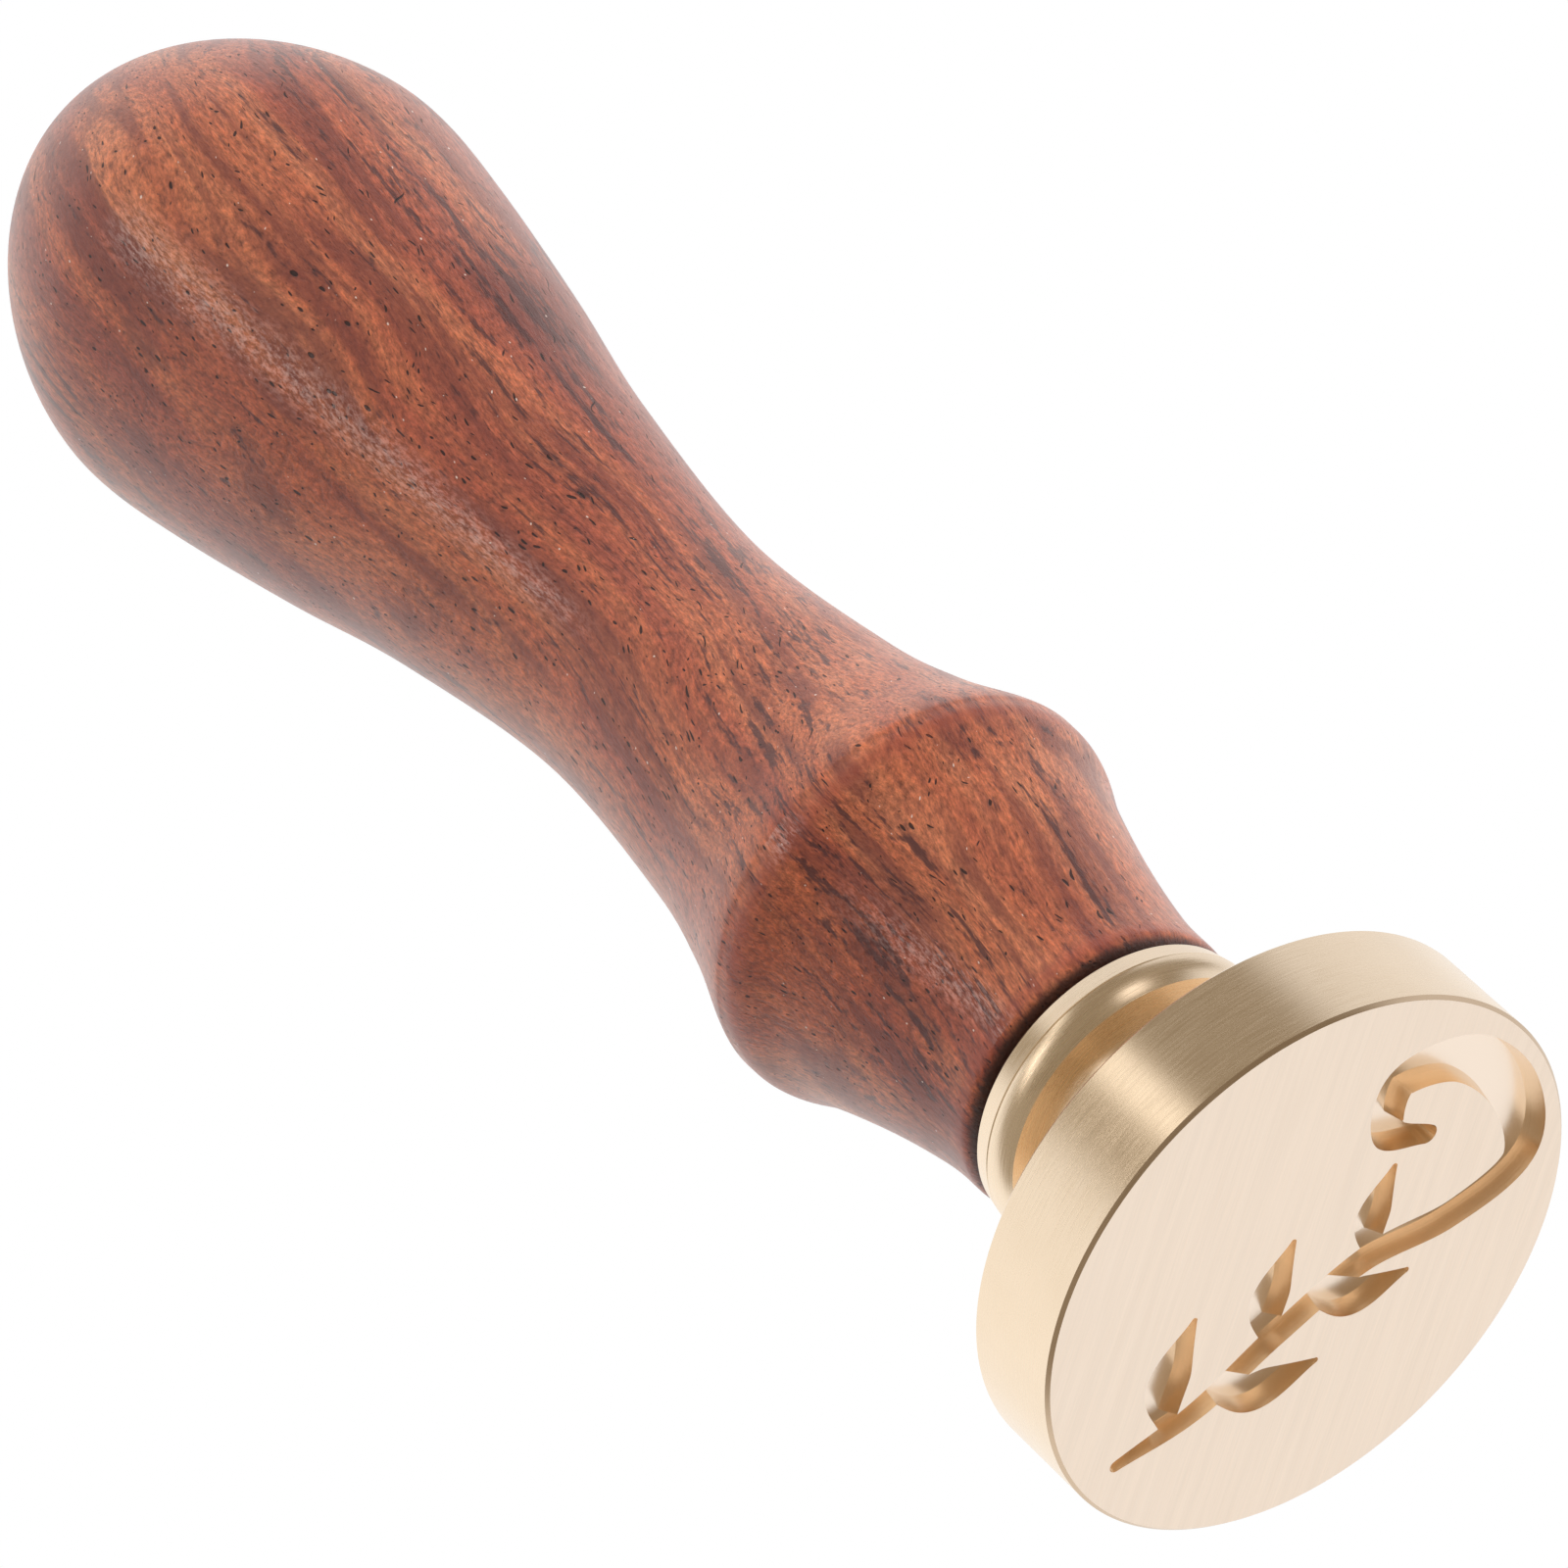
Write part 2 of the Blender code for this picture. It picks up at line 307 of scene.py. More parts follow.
class Graph:
    """Thin helper that adds and links shader nodes."""

    def __init__(self, tree):
        self.tree = tree

    def add(self, kind, inputs=None, **settings):
        made = self.tree.nodes.new(kind)
        for key, value in settings.items():
            setattr(made, key, value)
        for key, value in (inputs or {}).items():
            if isinstance(value, bpy.types.NodeSocket):
                self.tree.links.new(value, made.inputs[key])
            else:
                made.inputs[key].default_value = value
        return made

    def math(self, operation, first, second=0.0, third=0.0, clamp=False):
        inputs = {0: first, 1: second, 2: third}
        made = self.add("ShaderNodeMath", inputs, operation=operation, use_clamp=clamp)
        return made.outputs[0]

    def product(self, first, second):
        return self.math("MULTIPLY", first, second)

    def xyz(self, x, y, z):
        return self.add("ShaderNodeCombineXYZ", {0: x, 1: y, 2: z}).outputs[0]

    def split(self, vector):
        """The three parts of a vector or colour."""
        return self.add("ShaderNodeSeparateXYZ", {0: vector}).outputs

    def ramp(self, value, low, high, start=0.0, end=1.0, smooth=False):
        kind = "SMOOTHSTEP" if smooth else "LINEAR"
        inputs = {0: value, 1: low, 2: high, 3: start, 4: end}
        made = self.add("ShaderNodeMapRange", inputs, interpolation_type=kind)
        return made.outputs[0]

    def band(self, value, low, high, softness):
        """1 between low and high, a half at either of them, and 0 beyond them by the softness."""
        rise = self.ramp(value, low - softness, low + softness, smooth=True)
        fall = self.ramp(value, high - softness, high + softness, 1.0, 0.0, smooth=True)
        return self.product(rise, fall)

    def stretch(self, vector, scale, shift=(0.0, 0.0, 0.0)):
        inputs = {"Vector": vector, "Scale": scale, "Location": shift}
        return self.add("ShaderNodeMapping", inputs).outputs[0]

    def noise(self, vector, detail=2.0, roughness=0.5):
        inputs = {"Vector": vector, "Scale": 1.0, "Detail": detail, "Roughness": roughness}
        return self.add("ShaderNodeTexNoise", inputs).outputs[0]

    def cells(self, vector):
        """Distance to the nearest of many scattered points, and a random colour for each."""
        made = self.add("ShaderNodeTexVoronoi", {"Vector": vector, "Scale": 1.0})
        return made.outputs["Distance"], made.outputs["Color"]

    def dots(self, distance, size, softness):
        """1 within a size of the scattered points, fading to 0 at that size."""
        return self.ramp(self.math("SUBTRACT", size, distance), 0.0, softness)

    def colors(self, value, stops):
        made = self.add("ShaderNodeValToRGB", {0: value})
        elements = made.color_ramp.elements
        while len(elements) < len(stops):
            elements.new(0.5)
        for element, (place, color) in zip(elements, stops):
            element.position = place
            element.color = (*color, 1.0)
        return made.outputs[0]

    def mix(self, share, first, second, blend="MIX"):
        inputs = {0: share, 6: first, 7: second}
        made = self.add("ShaderNodeMix", inputs, data_type="RGBA", blend_type=blend)
        return made.outputs[2]

    def shaded(self, base, tone):
        """Multiply a colour by a grey tone."""
        return self.mix(1.0, base, self.xyz(tone, tone, tone), "MULTIPLY")

    def link(self, output, shader, *sockets):
        for socket in sockets:
            self.tree.links.new(output, shader.inputs[socket])

    def millimetres(self):
        """The point in the stamp's frame, in millimetres, and its x, y and z."""
        place = self.add("ShaderNodeTexCoord").outputs["Object"]
        point = self.stretch(place, (1.0 / MM, 1.0 / MM, 1.0 / MM))
        x, y, z = self.split(point)
        return point, x, y, z


def new_material(name):
    material = bpy.data.materials.new(name)
    material.use_nodes = True
    tree = material.node_tree
    return material, Graph(tree), tree.nodes["Principled BSDF"]


def bearings(g, direction):
    """Azimuth and elevation of a direction, and its azimuth once the studio's lean is allowed for.

    Low down, everything that the surroundings hold on the camera's side leans to the left.
    """
    x, y, z = g.split(direction)
    azimuth = g.math("DEGREES", g.math("ARCTAN2", x, g.product(y, -1.0)))
    elevation = g.math("DEGREES", g.math("ARCSINE", z))
    leaned = g.math("ADD", azimuth, g.ramp(elevation, 29.0, 5.0, 0.0, STRIP_LEAN))
    return azimuth, elevation, leaned


# ---- rosewood --------------------------------------------------------------------------


def wood_grain(g, point, x, y, z):
    """The point in the wood's own grain, which leans off the handle's axis and wanders."""
    bend = g.noise(g.stretch(point, (0.09, 0.09, 0.030)), detail=2.0)
    lean = g.math("MULTIPLY_ADD", z, -GRAIN_LEAN, g.product(bend, GRAIN_WANDER))
    return g.xyz(g.math("ADD", x, lean), y, z)


def add_fibres(g, base, mottle, threads):
    """Redden and shade a colour by the mottled fibres and the finer threads."""
    base = g.mix(g.ramp(mottle, 0.36, 0.56, 0.30, 0.0), base, FIBRE_RED)
    broad = g.ramp(mottle, 0.3, 0.7, 0.74, 1.30)
    fine = g.ramp(threads, 0.3, 0.7, -0.48, 0.48)
    return g.shaded(base, g.math("ADD", broad, fine))


def add_streaks(g, base, grain):
    """Red stains, and thin dark streaks with frayed edges, gathered in some of the layers."""
    streak = g.noise(g.stretch(grain, (2.3, 0.8, 0.07), (7.0, 3.0, 1.0)), detail=4.0, roughness=0.6)
    fray = g.noise(g.stretch(grain, (5.5, 5.5, 1.1), (2.0, 9.0, 4.0)), detail=2.0)
    zone = g.noise(g.stretch(grain, (0.15, 0.08, 0.018), (12.0, 5.0, 2.0)), detail=1.0)
    streak = g.math("ADD", streak, g.ramp(fray, 0.3, 0.7, -0.07, 0.07))
    streak = g.math("ADD", streak, g.ramp(zone, 0.38, 0.62, -0.06, 0.04))
    stain = g.noise(g.stretch(grain, (1.1, 0.45, 0.04), (3.0, 8.0, 6.0)), detail=3.0)
    base = g.mix(g.ramp(stain, 0.48, 0.62, 0.0, 0.68), base, STAIN_RED)
    dark = g.ramp(streak, 0.55, 0.66, smooth=True)
    return g.mix(g.product(dark, 0.84), base, STREAK_PURPLE)


def pore_mask(g, warped):
    """Open pores, as short dashes of random length along the grain."""
    distance, color = g.cells(g.stretch(warped, (4.4, 4.4, 0.85)))
    length = g.ramp(g.split(color)[0], 0.30, 1.0, 0.0, 0.30)
    return g.dots(distance, length, 0.05)


def dust_mask(g, warped):
    """Dust and torn fibres caught in the pores, as a few small specks."""
    distance, color = g.cells(g.stretch(warped, (3.4, 3.4, 1.9), (0.3, 0.1, 0.2)))
    size = g.ramp(g.split(color)[1], 0.82, 1.0, 0.0, 0.17)
    return g.dots(distance, size, 0.05)


def add_painted_edge_light(g, base, z):
    """Painted highlights, red, on the ridge's crest and just above the bottom edge, and painted
    shade, near black, round the bottom edge.
    """
    # painted highlight: a red band on the ridge's crest and one just above the bottom edge
    crest = g.band(z, RIDGE_HEIGHT - 0.9, RIDGE_HEIGHT - 0.3, 0.4)
    rim = g.band(z, HANDLE_BOTTOM + 0.5, HANDLE_BOTTOM + 1.1, 0.35)
    base = g.mix(g.product(g.math("ADD", crest, rim), 0.50), base, PAINTED_EDGE_HIGHLIGHT)
    # painted shade: near black towards the bottom edge, where the brass shades the gap
    edge = g.ramp(z, HANDLE_BOTTOM + 0.12, HANDLE_BOTTOM + 0.48, 0.92, 0.0, smooth=True)
    return g.mix(edge, base, PAINTED_GAP_SHADE)


def add_painted_sheen(g, base, threads):
    """A painted highlight, a broken pale streak under the bright strip, and a painted grazing
    reflection, a pale haze where the wood turns away.
    """
    mirrored = g.add("ShaderNodeTexCoord").outputs["Reflection"]
    azimuth, elevation, _ = bearings(g, mirrored)
    # painted highlight: pale streak where the mirrored strip would fall, broken by the threads
    painted_streak = g.product(g.band(azimuth, -28.0, -14.0, 12.0), g.band(elevation, 8.0, 40.0, 8.0))
    painted_streak = g.product(painted_streak, g.ramp(threads, 0.44, 0.62, 0.0, 0.50))
    base = g.mix(painted_streak, base, PAINTED_STREAK_HIGHLIGHT)
    # painted reflection: pale haze at grazing angles
    facing = g.add("ShaderNodeLayerWeight", {"Blend": 0.5}).outputs["Facing"]
    return g.mix(g.ramp(facing, 0.40, 0.80, 0.0, 0.20), base, PAINTED_GRAZING_SHEEN)


def rosewood_material():
    """Satin rosewood: orange to purple-brown figure along Z, with open pores."""
    material, g, shader = new_material("rosewood")
    point, x, y, z = g.millimetres()
    grain = wood_grain(g, point, x, y, z)
    wander = g.noise(g.stretch(point, (0.7, 0.7, 0.7)), detail=0.0)
    warped = g.add("ShaderNodeVectorMath", {0: grain, 1: wander}, operation="ADD").outputs[0]

    figure = g.noise(g.stretch(grain, (0.34, 0.16, 0.022)), detail=4.0, roughness=0.60)
    mottle = g.noise(g.stretch(grain, (4.2, 4.2, 1.5)), detail=5.0, roughness=0.70)
    threads = g.noise(g.stretch(grain, (8.0, 8.0, 2.0)), detail=4.0, roughness=0.7)
    pore = pore_mask(g, warped)

    base = g.colors(figure, FIGURE_STOPS)
    base = add_fibres(g, base, mottle, threads)
    base = add_streaks(g, base, grain)
    base = g.mix(g.product(pore, 0.92), base, PORE_BLACK)
    base = g.mix(g.product(dust_mask(g, warped), 0.90), base, DUST_PALE)
    # painted highlights on the crest and rim, painted shade at the bottom edge
    base = add_painted_edge_light(g, base, z)
    # painted highlight streak and painted grazing reflection
    base = add_painted_sheen(g, base, threads)

    relief = g.math("MULTIPLY_ADD", pore, -1.6, g.product(threads, 0.9))
    relief = g.math("MULTIPLY_ADD", mottle, 0.8, relief)
    bump = g.add("ShaderNodeBump", {"Strength": 0.7, "Distance": 0.1 * MM, "Height": relief})
    rough = g.math("ADD", g.ramp(mottle, 0.3, 0.7, 0.50, 0.36), g.product(pore, 0.3))

    g.link(base, shader, "Base Color")
    g.link(rough, shader, "Roughness")
    g.link(bump.outputs[0], shader, "Normal", "Coat Normal")
    shader.inputs["IOR"].default_value = 1.45
    shader.inputs["Specular IOR Level"].default_value = 0.35
    shader.inputs["Coat Weight"].default_value = 0.70
    shader.inputs["Coat Roughness"].default_value = 0.26
    return material


# ---- brass and steel -------------------------------------------------------------------


def brass_zones(g, radius, z):
    """Masks of what is low on the head, of the face, of the engraving and of the turned rest."""
    low = g.math("LESS_THAN", z, ENGRAVED_TOP)
    on_face = g.math("LESS_THAN", z, FACE_TOP)
    inside = g.math("LESS_THAN", radius, DISC_RADIUS - ENGRAVED_MARGIN)
    engraved = g.math("SUBTRACT", g.product(low, inside), on_face, clamp=True)
    side = g.math("SUBTRACT", g.math("SUBTRACT", 1.0, on_face), engraved, clamp=True)
    return low, on_face, engraved, side


def brush_point(g, x, y):
    """The place on the face, along and across the direction of brushing."""
    turn = math.radians(BRUSH_DEG)
    cosine = math.cos(turn)
    sine = math.sin(turn)
    along = g.math("MULTIPLY_ADD", x, cosine, g.product(y, sine))
    across = g.math("MULTIPLY_ADD", x, -sine, g.product(y, cosine))
    return g.xyz(along, across, 0.0)


def turning_marks(g, x, y, z, radius):
    """Fine lines round the axis that come and go along the way."""
    arc_length = g.product(g.math("ARCTAN2", y, x), radius)
    level = g.math("ADD", z, g.product(radius, 0.7))
    point = g.xyz(arc_length, level, 0.0)
    return g.noise(g.stretch(point, (0.45, 9.0, 1.0)), detail=4.0, roughness=0.65)


def cutter_marks(g, z):
    """Lines along the engraved walls."""
    return g.noise(g.stretch(g.xyz(z, 0.0, 0.0), (9.0, 1.0, 1.0)), detail=3.0, roughness=0.7)


def upward_part(g):
    """How far the surface faces up: 1 straight up, 0 sideways and -1 straight down."""
    return g.split(g.add("ShaderNodeTexCoord").outputs["Normal"])[2]


def brass_tangent(g, on_face):
    """Across the brushing on the face, and round the axis elsewhere."""
    turn = math.radians(BRUSH_DEG)
    radial = g.add("ShaderNodeTangent", direction_type="RADIAL", axis="Z").outputs[0]
    straight = (-math.sin(turn), math.cos(turn), 0.0)
    inputs = {0: on_face, 4: radial, 5: straight}
    return g.add("ShaderNodeMix", inputs, data_type="VECTOR").outputs[1]


def brass_color(g, point, radius, zones, lines, broad_brush, cut):
    """A faint patina on the turned metal and a paler face, toned by the fine lines.

    The disc's lower edge, the cutter lines and a few specks are darker.
    """
    low, on_face, engraved, _ = zones
    upward = upward_part(g)
    patina = g.noise(g.stretch(point, (0.22, 0.22, 0.22)), detail=3.0)
    base = g.mix(g.ramp(patina, 0.35, 0.65), TURNED_BRASS, TURNED_BRASS_PALE)
    flat = g.product(g.math("LESS_THAN", upward, -0.95), low)
    base = g.mix(flat, base, FACE_BRASS)
    tone = g.ramp(lines, 0.30, 0.70, 0.955, 1.03)
    broad_tone = g.ramp(broad_brush, 0.35, 0.65, -0.022, 0.016)
    base = g.shaded(base, g.math("MULTIPLY_ADD", broad_tone, on_face, tone))

    # darker on the downward-facing outer chamfer of the face
    darker_chamfer = g.product(g.math("GREATER_THAN", radius, DISC_RADIUS - DISC_CHAMFER), low)
    darker_chamfer = g.product(darker_chamfer, g.math("LESS_THAN", upward, -0.3))
    base = g.mix(darker_chamfer, base, EDGE_BRASS)
    marks = g.product(engraved, g.ramp(cut, 0.42, 0.30, 0.0, 0.45))
    base = g.mix(marks, base, CUT_BRASS)
    distance = g.cells(g.stretch(point, (0.33, 0.33, 0.33)))[0]
    speck = g.dots(distance, SPECK_RADIUS, SPECK_RADIUS / 3.0)
    return g.mix(g.product(speck, 0.7), base, BRASS_SPECK)


def brass_gloss(g, z, zones, brush, lathe):
    """Roughness, and how far it is drawn out across the fine lines."""
    _, on_face, engraved, side = zones
    rough = g.product(g.ramp(brush, 0.3, 0.7, 0.34, 0.46), on_face)
    rough = g.math("MULTIPLY_ADD", g.ramp(lathe, 0.3, 0.7, 0.20, 0.31), side, rough)
    rough = g.math("MULTIPLY_ADD", engraved, 0.24, rough)
    anisotropy = g.math("MULTIPLY_ADD", on_face, 0.20, 0.45)
    anisotropy = g.math("MULTIPLY_ADD", engraved, -0.45, anisotropy)

    # the neck and collar are finished more evenly than the disc
    above_disc = g.ramp(z, DISC_THICKNESS, DISC_THICKNESS + NECK_FILLET)
    rough = g.math("MULTIPLY_ADD", above_disc, 0.02, rough)
    anisotropy = g.math("MULTIPLY_ADD", above_disc, -0.30, anisotropy)
    return rough, anisotropy


def brass_material():
    """Pale brass: straight brushing on the face, turning marks round the sides."""
    material, g, shader = new_material("brushed_brass")
    point, x, y, z = g.millimetres()
    radius = g.math("SQRT", g.math("ADD", g.product(x, x), g.product(y, y)))
    zones = brass_zones(g, radius, z)
    _, on_face, engraved, side = zones

    brushed = brush_point(g, x, y)
    brush = g.noise(g.stretch(brushed, (0.35, 9.0, 1.0)), detail=4.0, roughness=0.6)
    broad_brush = g.noise(g.stretch(brushed, (0.10, 2.2, 1.0), (5.0, 2.0, 0.0)), detail=3.0)
    lathe = turning_marks(g, x, y, z, radius)
    cut = cutter_marks(g, z)
    lines = g.product(brush, on_face)
    lines = g.math("MULTIPLY_ADD", lathe, side, lines)
    lines = g.math("MULTIPLY_ADD", cut, engraved, lines)

    rough, anisotropy = brass_gloss(g, z, zones, brush, lathe)
    bump = g.add("ShaderNodeBump", {"Strength": 0.22, "Distance": 0.02 * MM, "Height": lines})
    base = brass_color(g, point, radius, zones, lines, broad_brush, cut)
    g.link(base, shader, "Base Color")
    g.link(rough, shader, "Roughness")
    g.link(bump.outputs[0], shader, "Normal")
    g.link(brass_tangent(g, on_face), shader, "Tangent")
    # a quarter turn on the sides lays the tangent across the turning marks
    g.link(g.product(side, 0.25), shader, "Anisotropic Rotation")
    g.link(anisotropy, shader, "Anisotropic")
    shader.inputs["Metallic"].default_value = 1.0
    return material


def steel_material():
    """Zinc-plated steel, faintly mottled, with fine marks round the thread."""
    material, g, shader = new_material("zinc_steel")
    point = g.millimetres()[0]
    spangle = g.noise(g.stretch(point, (1.1, 1.1, 1.1)), detail=3.0)
    marks = g.noise(g.stretch(point, (1.0, 1.0, 14.0)), detail=3.0)
    bump = g.add("ShaderNodeBump", {"Strength": 0.2, "Distance": 0.02 * MM, "Height": marks})
    g.link(g.mix(g.ramp(spangle, 0.35, 0.65), ZINC_DARK, ZINC_LIGHT), shader, "Base Color")
    g.link(g.ramp(marks, 0.3, 0.7, 0.25, 0.42), shader, "Roughness")
    g.link(bump.outputs[0], shader, "Normal")
    shader.inputs["Metallic"].default_value = 1.0
    return material


# ---- handle ----------------------------------------------------------------------------


def handle_outline():
    """Crown, grip, rounded bottom rim and the blind bore for the stud."""
    crown_height = TOTAL_HEIGHT - BULB_HEIGHT
    outline = []
    for index in range(CROWN_STEPS):
        share = math.cos(0.5 * math.pi * index / CROWN_STEPS)
        radius = BULB_RADIUS * (1.0 - share ** CROWN_POWER) ** (1.0 / CROWN_POWER)
        outline.append((radius, BULB_HEIGHT + crown_height * share))

    grip = [
        (10.41, 2.0 * BULB_HEIGHT - 71.0),
        (BULB_RADIUS, BULB_HEIGHT),
        (10.41, 71.0),
        (9.10, 63.5),
        (7.56, 56.0),
        (WAIST_RADIUS, WAIST_HEIGHT),
        (7.05, 36.0),
        (8.12, 31.0),
        (RIDGE_RADIUS - RIDGE_DROP, RIDGE_HEIGHT + RIDGE_REACH),
        (RIDGE_RADIUS, RIDGE_HEIGHT),
        (RIDGE_RADIUS - RIDGE_DROP, RIDGE_HEIGHT - RIDGE_REACH),
        (8.49, 23.5),
        (7.43, 19.75),
        (6.75, 16.2),
        (BOTTOM_RIM_RADIUS, HANDLE_BOTTOM + BOTTOM_ROUNDING),
        (BOTTOM_RIM_RADIUS, HANDLE_BOTTOM),
    ]
    outline += smooth_through(grip, GRIP_STEPS)
    rim_center = BOTTOM_RIM_RADIUS - BOTTOM_ROUNDING
    outline += arc(rim_center, HANDLE_BOTTOM + BOTTOM_ROUNDING, BOTTOM_ROUNDING, 0, -90, 10)[1:]

    bore_radius = THREAD_RADIUS + BORE_CLEARANCE
    bore_top = STUD_TOP + BORE_END_GAP
    outline += [
        (bore_radius + BORE_CHAMFER, HANDLE_BOTTOM),
        (bore_radius, HANDLE_BOTTOM + BORE_CHAMFER),
        (bore_radius, bore_top),
        (0.0, bore_top + 0.5 * bore_radius),
    ]
    return outline


def make_handle():
    handle = turned("turned_handle", handle_outline(), SEGMENTS)
    shade(handle, 40.0)
    handle.data.materials.append(rosewood_material())
    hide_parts("handle")
    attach(handle, "grip")


# ---- seal head -------------------------------------------------------------------------


def head_outline():
    """Outline of the head, solid where the tapped hole will be cut."""
    outline = [
        (0.0, HEAD_TOP),
        (BEAD_TOP_RADIUS - BEAD_CHAMFER, HEAD_TOP),
        (BEAD_TOP_RADIUS, HEAD_TOP - BEAD_CHAMFER),
        (BEAD_RADIUS, BEAD_SHOULDER + BEAD_LINE_WIDTH),
        (BEAD_RADIUS - BEAD_LINE_DEPTH, BEAD_SHOULDER + 0.5 * BEAD_LINE_WIDTH),
    ]
    bead_turn = math.degrees(math.asin((BEAD_SHOULDER - BEAD_BOTTOM) / BEAD_CURVE))
    outline += arc(BEAD_RADIUS - BEAD_CURVE, BEAD_SHOULDER, BEAD_CURVE, 0, -bead_turn, 20)
    outline.append((NECK_RADIUS, BEAD_BOTTOM))
    fillet_height = DISC_THICKNESS + NECK_FILLET
    outline += arc(NECK_RADIUS + NECK_FILLET, fillet_height, NECK_FILLET, 180, 270, 8)
    outline += [
        (DISC_RADIUS - DISC_CHAMFER, DISC_THICKNESS),
        (DISC_RADIUS, DISC_THICKNESS - DISC_CHAMFER),
        (DISC_RADIUS, DISC_CHAMFER),
        (DISC_RADIUS - DISC_CHAMFER, 0.0),
        (0.0, 0.0),
    ]
    return outline


def stroke_section(center, along, half, depth, turn):
    """Corners of a stroke's mouth and floor, turned round the stroke's centre at its ends."""
    across = Vector((-along.y, along.x))
    depth = min(depth, DEPTH_LIMIT * half / WALL_DRAFT)
    mouth = half + WALL_DRAFT * CUTTER_OVERRUN
    floor = half - WALL_DRAFT * depth
    corners = []
    for reach, side, height in (
        (mouth, 1.0, -CUTTER_OVERRUN),
        (mouth, -1.0, -CUTTER_OVERRUN),
        (floor, -1.0, depth),
        (floor, 1.0, depth),
    ):
        point = center + along * (reach * math.sin(turn))
        point += across * (side * reach * math.cos(turn))
        corners.append((point.x * MM, point.y * MM, height * MM))
    return corners


def stroke_sections(path, widths, depth):
    """Sections along one engraved stroke, with a round end at either tip."""
    stations = [Vector((x, y, 0.5 * width)) for (x, y), width in zip(path, widths)]
    first_guide = 2.0 * stations[0] - stations[1]
    last_guide = 2.0 * stations[-1] - stations[-2]
    curve = smooth_through([first_guide] + stations + [last_guide], STROKE_STEPS)
    samples = [Vector(sample) for sample in curve]
    last = len(samples) - 1
    sections = []
    for index, sample in enumerate(samples):
        step = samples[min(index + 1, last)] - samples[max(index - 1, 0)]
        along = step.to_2d().normalized()
        turns = [0.0]
        if index == 0:
            turns = [-turn for turn in reversed(TIP_TURNS)] + turns
        if index == last:
            turns += TIP_TURNS
        for turn in turns:
            center = sample.to_2d()
            sections.append(stroke_section(center, along, sample.z, depth, math.radians(turn)))
    return sections


def engraving_cutter(name, path, widths, depth):
    """What one stroke takes out of the sealing face: a flat floor between drafted walls."""
    bm = bmesh.new()
    rings = []
    for section in stroke_sections(path, widths, depth):
        rings.append([bm.verts.new(corner) for corner in section])
    for ring, next_ring in zip(rings, rings[1:]):
        for index in range(4):
            following = (index + 1) % 4
            bm.faces.new((ring[index], ring[following], next_ring[following], next_ring[index]))
    bm.faces.new(rings[0])
    bm.faces.new(rings[-1])
    bmesh.ops.recalc_face_normals(bm, faces=bm.faces)
    mesh = bpy.data.meshes.new(name)
    bm.to_mesh(mesh)
    bm.free()
    return link_object(name, mesh)


def sprig_strokes():
    """The curled sprig: its stem and leaves, each as (path, widths, depth), flat on the face."""
    stem = [(-10.7, -0.4), (-7.0, 1.0), (-2.6, 1.5), (1.8, 2.4), (5.4, 4.6), (8.9, 5.2)]
    curl = [(10.5, 2.0), (10.1, -1.8), (7.7, -3.9), (5.9, -2.3), (6.9, -0.3)]
    stem_widths = [0.6, 1.2, 1.4, 1.5, 1.6, 1.9, 2.2, 2.2, 1.9, 1.5, 0.9]
    strokes = [(stem + curl, stem_widths, STEM_DEPTH)]
    leaf_roots = [(-8.4, 0.5), (-6.2, 1.1), (-3.2, 1.4), (-0.8, 1.8), (2.0, 2.5)]
    for index, (x, y) in enumerate(leaf_roots):
        side = 1.0 if index % 2 else -1.0
        size = 1.0 - 0.05 * index
        middle = (x + 1.5 * size, y + 2.2 * size * side)
        tip = (x + 3.9 * size, y + 3.7 * size * side)
        strokes.append(([(x, y), middle, tip], [0.6, 2.2 * size, 0.3], LEAF_DEPTH))
    return strokes


def tap_tool():
    """What the tapped hole takes out of the head: a core and a helical ridge."""
    core_radius = THREAD_RADIUS - THREAD_DEPTH + TAP_CLEARANCE
    mouth = THREAD_RADIUS + TAP_CLEARANCE + TAP_CHAMFER
    above = HEAD_TOP + TAP_OVERRUN
    core = turned(
        "tap_core",
        [
            (0.0, above),
            (mouth + TAP_OVERRUN, above),
            (mouth, HEAD_TOP),
            (core_radius, HEAD_TOP - (mouth - core_radius)),
            (core_radius, TAPPED_HOLE_BOTTOM),
            (0.0, TAPPED_HOLE_BOTTOM),
        ],
        THREAD_SEGMENTS,
    )
    start = STUD_BOTTOM + TIP_CHAMFER - 0.5 * THREAD_PITCH
    ridge = helical_ridge("tap_ridge", core_radius, start, TAP_TURNS)
    return combine(core, ridge, "UNION")


def make_seal_head():
    head = turned("engraved_seal_head", head_outline(), SEGMENTS)
    head = combine(head, tap_tool(), "DIFFERENCE")
    for index, (path, widths, depth) in enumerate(sprig_strokes()):
        cutter = engraving_cutter("stroke_%d" % index, path, widths, depth)
        head = combine(head, cutter, "DIFFERENCE")
    shade(head, 28.0)
    head.data.materials.append(brass_material())
    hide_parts("seal_head")
    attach(head, "head")


# ---- stud ------------------------------------------------------------------------------


def make_stud():
    core_radius = THREAD_RADIUS - THREAD_DEPTH
    stud = turned(
        "screw_stud",
        [
            (0.0, STUD_TOP),
            (core_radius - TIP_CHAMFER, STUD_TOP),
            (core_radius, STUD_TOP - TIP_CHAMFER),
            (core_radius, STUD_BOTTOM + TIP_CHAMFER),
            (core_radius - TIP_CHAMFER, STUD_BOTTOM),
            (0.0, STUD_BOTTOM),
        ],
        THREAD_SEGMENTS,
    )
    start = STUD_BOTTOM + TIP_CHAMFER + 0.5 * THREAD_PITCH
    turns = (STUD_TOP - STUD_BOTTOM - 2.0 * TIP_CHAMFER) / THREAD_PITCH - 1.0
    ridge = helical_ridge("stud_ridge", core_radius, start, turns)
    stud = combine(stud, ridge, "UNION")
    shade(stud, 30.0)
    stud.data.materials.append(steel_material())
    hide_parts("threaded_stud")
    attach(stud, "stud")


# ---- studio ----------------------------------------------------------------------------


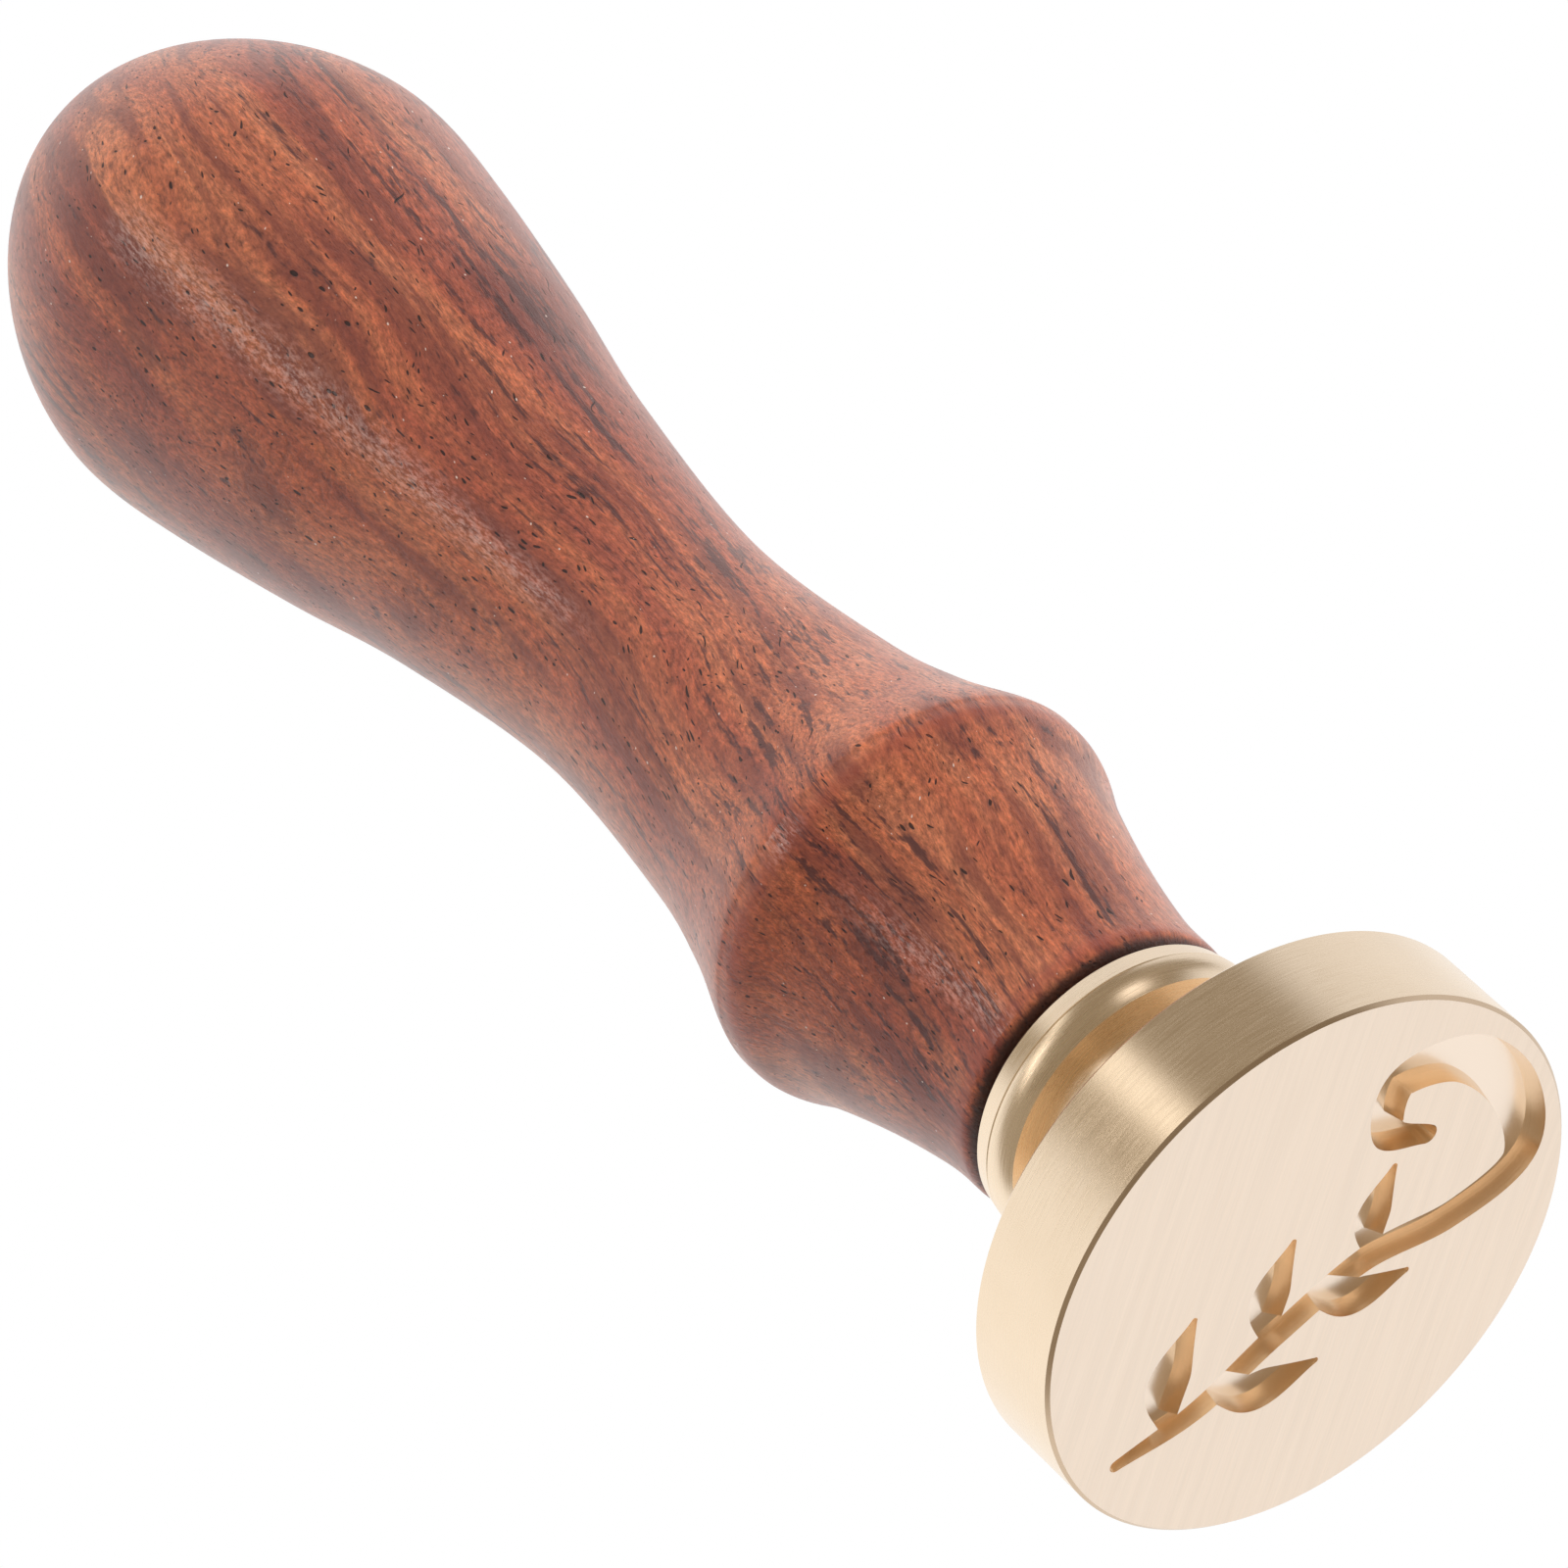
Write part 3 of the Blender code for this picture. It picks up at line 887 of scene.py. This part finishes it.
def make_floor():
    """A pale floor that shows only from above, so that it never hides the sealing face."""
    bm = bmesh.new()
    bmesh.ops.create_circle(bm, cap_ends=True, segments=64, radius=FLOOR_RADIUS * MM)
    mesh = bpy.data.meshes.new("floor")
    bm.to_mesh(mesh)
    bm.free()
    floor = link_object("floor", mesh)
    floor.location.z = -FLOOR_SINK * MM
    material, g, shader = new_material("floor")
    shader.inputs["Base Color"].default_value = FLOOR_COLOR
    shader.inputs["Roughness"].default_value = 0.9
    behind = g.add("ShaderNodeNewGeometry").outputs["Backfacing"]
    clear = g.add("ShaderNodeBsdfTransparent").outputs[0]
    mixed = g.add("ShaderNodeMixShader", {0: behind, 1: shader.outputs[0], 2: clear})
    g.tree.links.new(mixed.outputs[0], g.tree.nodes["Material Output"].inputs[0])
    mesh.materials.append(material)
    floor.visible_diffuse = False
    floor.visible_glossy = False
    floor.visible_transmission = False
    floor.visible_shadow = False


def dim_stretch(g, elevation, leaned):
    """Where the surroundings are dim: on the camera's side, save straight below.

    The stretch is wider low down, and narrower and further to the left high up.
    """
    high = g.ramp(elevation, 46.0, 53.0)
    low = g.ramp(elevation, 32.0, 19.0)
    start = g.math("MULTIPLY_ADD", high, 32.0, g.math("MULTIPLY_ADD", low, 28.0, leaned))
    end = g.math("MULTIPLY_ADD", high, 80.0, g.math("MULTIPLY_ADD", low, -75.0, leaned))
    after_start = g.ramp(start, -38.0, -16.0, smooth=True)
    before_end = g.ramp(end, 61.0, 83.0, 1.0, 0.0, smooth=True)
    upright = g.ramp(elevation, -86.0, -58.0, smooth=True)
    return g.product(g.product(after_start, before_end), upright)


def mirrored_surroundings(g, direction):
    """What metal and lacquer mirror: white walls, a dim stretch, a bright strip and a glint."""
    azimuth, elevation, leaned = bearings(g, direction)
    white = g.mix(g.band(azimuth, 60.0, 150.0, 20.0), WHITE, WHITE_RIGHT)
    white = g.mix(g.ramp(elevation, 55.0, 75.0), white, WHITE_ABOVE)

    dim = g.mix(g.ramp(leaned, 4.0, 24.0, smooth=True), DIM_LEFT, DIM_RIGHT)
    color = g.mix(dim_stretch(g, elevation, leaned), white, dim)

    strip = g.product(g.band(leaned, -2.0, 13.0, 3.0), g.band(elevation, 12.0, 49.0, 6.0))
    color = g.mix(strip, color, g.mix(g.ramp(elevation, 26.0, 16.0), STRIP_HIGH, STRIP_LOW))

    glint = g.product(g.band(azimuth, 44.0, 62.0, 5.0), g.band(elevation, -16.0, 4.0, 5.0))
    return g.mix(glint, color, GLINT)


def soft_light(g, direction):
    """Soft light for the wood: from above, from the right and from behind."""
    lit = g.add("ShaderNodeVectorMath", {0: direction, 1: KEY_SIDE}, operation="DOT_PRODUCT")
    level = g.ramp(lit.outputs["Value"], -1.0, 1.0, 0.0, KEY_STRENGTH)
    return g.xyz(level, level, level)


def make_world():
    """A white studio: plain white to the camera, soft light for the wood, walls for the metal."""
    world = bpy.data.worlds.new("studio")
    bpy.context.scene.world = world
    world.use_nodes = True
    g = Graph(world.node_tree)
    direction = g.add("ShaderNodeTexCoord").outputs["Generated"]
    mirrored = mirrored_surroundings(g, direction)
    path = g.add("ShaderNodeLightPath")
    color = g.mix(path.outputs["Is Diffuse Ray"], mirrored, soft_light(g, direction))
    color = g.mix(path.outputs["Is Camera Ray"], color, WHITE)
    g.link(color, world.node_tree.nodes["Background"], "Color")


def make_camera():
    """A long lens, below the sealing face and rolled, so that the handle runs up to the left."""
    data = bpy.data.cameras.new("camera")
    data.sensor_width = SENSOR_WIDTH
    data.lens = CAMERA_LENS
    data.shift_x = CAMERA_SHIFT_X
    data.shift_y = CAMERA_SHIFT_Y
    data.clip_start = 10.0 * MM
    camera = link_object("camera", data)
    away = Vector((0.0, -math.cos(CAMERA_DROP), -math.sin(CAMERA_DROP)))
    place = Vector((0.0, 0.0, CAMERA_AIM_HEIGHT * MM)) + away * (CAMERA_DISTANCE * MM)
    tilt = Matrix.Rotation(math.radians(90.0) + CAMERA_DROP, 4, "X")
    roll = Matrix.Rotation(-CAMERA_ROLL, 4, "Z")
    camera.matrix_world = Matrix.Translation(place) @ tilt @ roll
    bpy.context.scene.camera = camera


make_handle()
make_seal_head()
make_stud()
make_floor()
make_world()
make_camera()
bpy.context.scene.view_settings.view_transform = "Standard"
